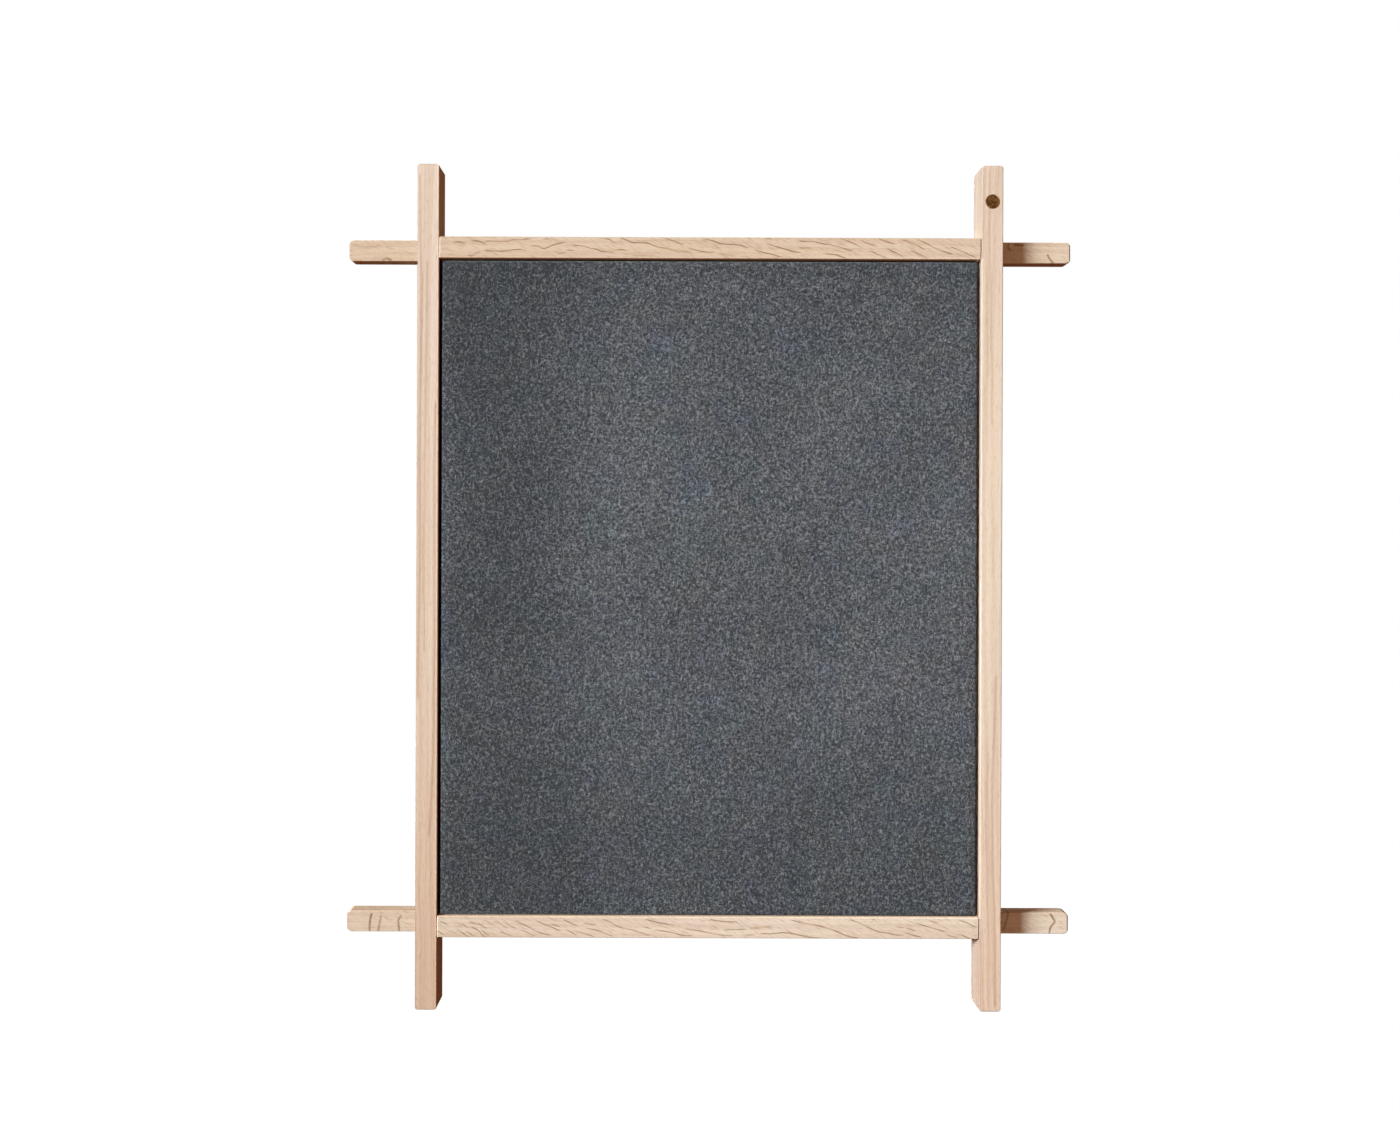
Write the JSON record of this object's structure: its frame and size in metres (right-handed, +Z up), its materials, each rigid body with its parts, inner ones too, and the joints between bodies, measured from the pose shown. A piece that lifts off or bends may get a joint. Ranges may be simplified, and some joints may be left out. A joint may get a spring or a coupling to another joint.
{
  "type": "pin board",
  "caption": "Flat wall board for pins: crossed oak bars with stub ends frame a felt-covered soft panel, hung on two keyhole plates.",
  "frame": {"origin": "middle of the top rail's back face, in the plane of the wall", "axes": "+X to the right of someone facing the board, +Y from the board's front to the wall, +Z up"},
  "size_m": [0.674, 0.0216, 0.78],
  "materials": {
    "oak": "pale oak, fine straight grain, matt oil",
    "felt": "dark blue-grey melange wool felt",
    "softboard": "raw fibre softboard",
    "hardboard": "brown hardboard",
    "aged_brass": "dark aged brass, satin",
    "hanger_steel": "zinc-plated sheet steel",
    "zinc_screw": "zinc-plated steel",
    "pad_felt": "pale pressed felt"
  },
  "bodies": {
    "root": {"left_stile": "oak", "right_stile": "oak", "top_rail": "oak", "bottom_rail": "oak", "fabric_cover": "felt", "pin_core": "softboard", "backing_board": "hardboard", "badge_stud": "aged_brass", "left_hanger": "hanger_steel", "right_hanger": "hanger_steel", "lap_screw_top_left": "zinc_screw", "lap_screw_top_right": "zinc_screw", "lap_screw_bottom_left": "zinc_screw", "lap_screw_bottom_right": "zinc_screw", "backing_screw_01": "zinc_screw", "backing_screw_02": "zinc_screw", "backing_screw_03": "zinc_screw", "backing_screw_04": "zinc_screw", "backing_screw_05": "zinc_screw", "backing_screw_06": "zinc_screw", "backing_screw_07": "zinc_screw", "backing_screw_08": "zinc_screw", "backing_screw_09": "zinc_screw", "backing_screw_10": "zinc_screw", "core_screw_01": "zinc_screw", "core_screw_02": "zinc_screw", "core_screw_03": "zinc_screw", "core_screw_04": "zinc_screw", "left_hanger_screw_upper": "zinc_screw", "left_hanger_screw_lower": "zinc_screw", "right_hanger_screw_upper": "zinc_screw", "right_hanger_screw_lower": "zinc_screw", "left_wall_pad": "pad_felt", "right_wall_pad": "pad_felt"}
  },
  "joints": []
}
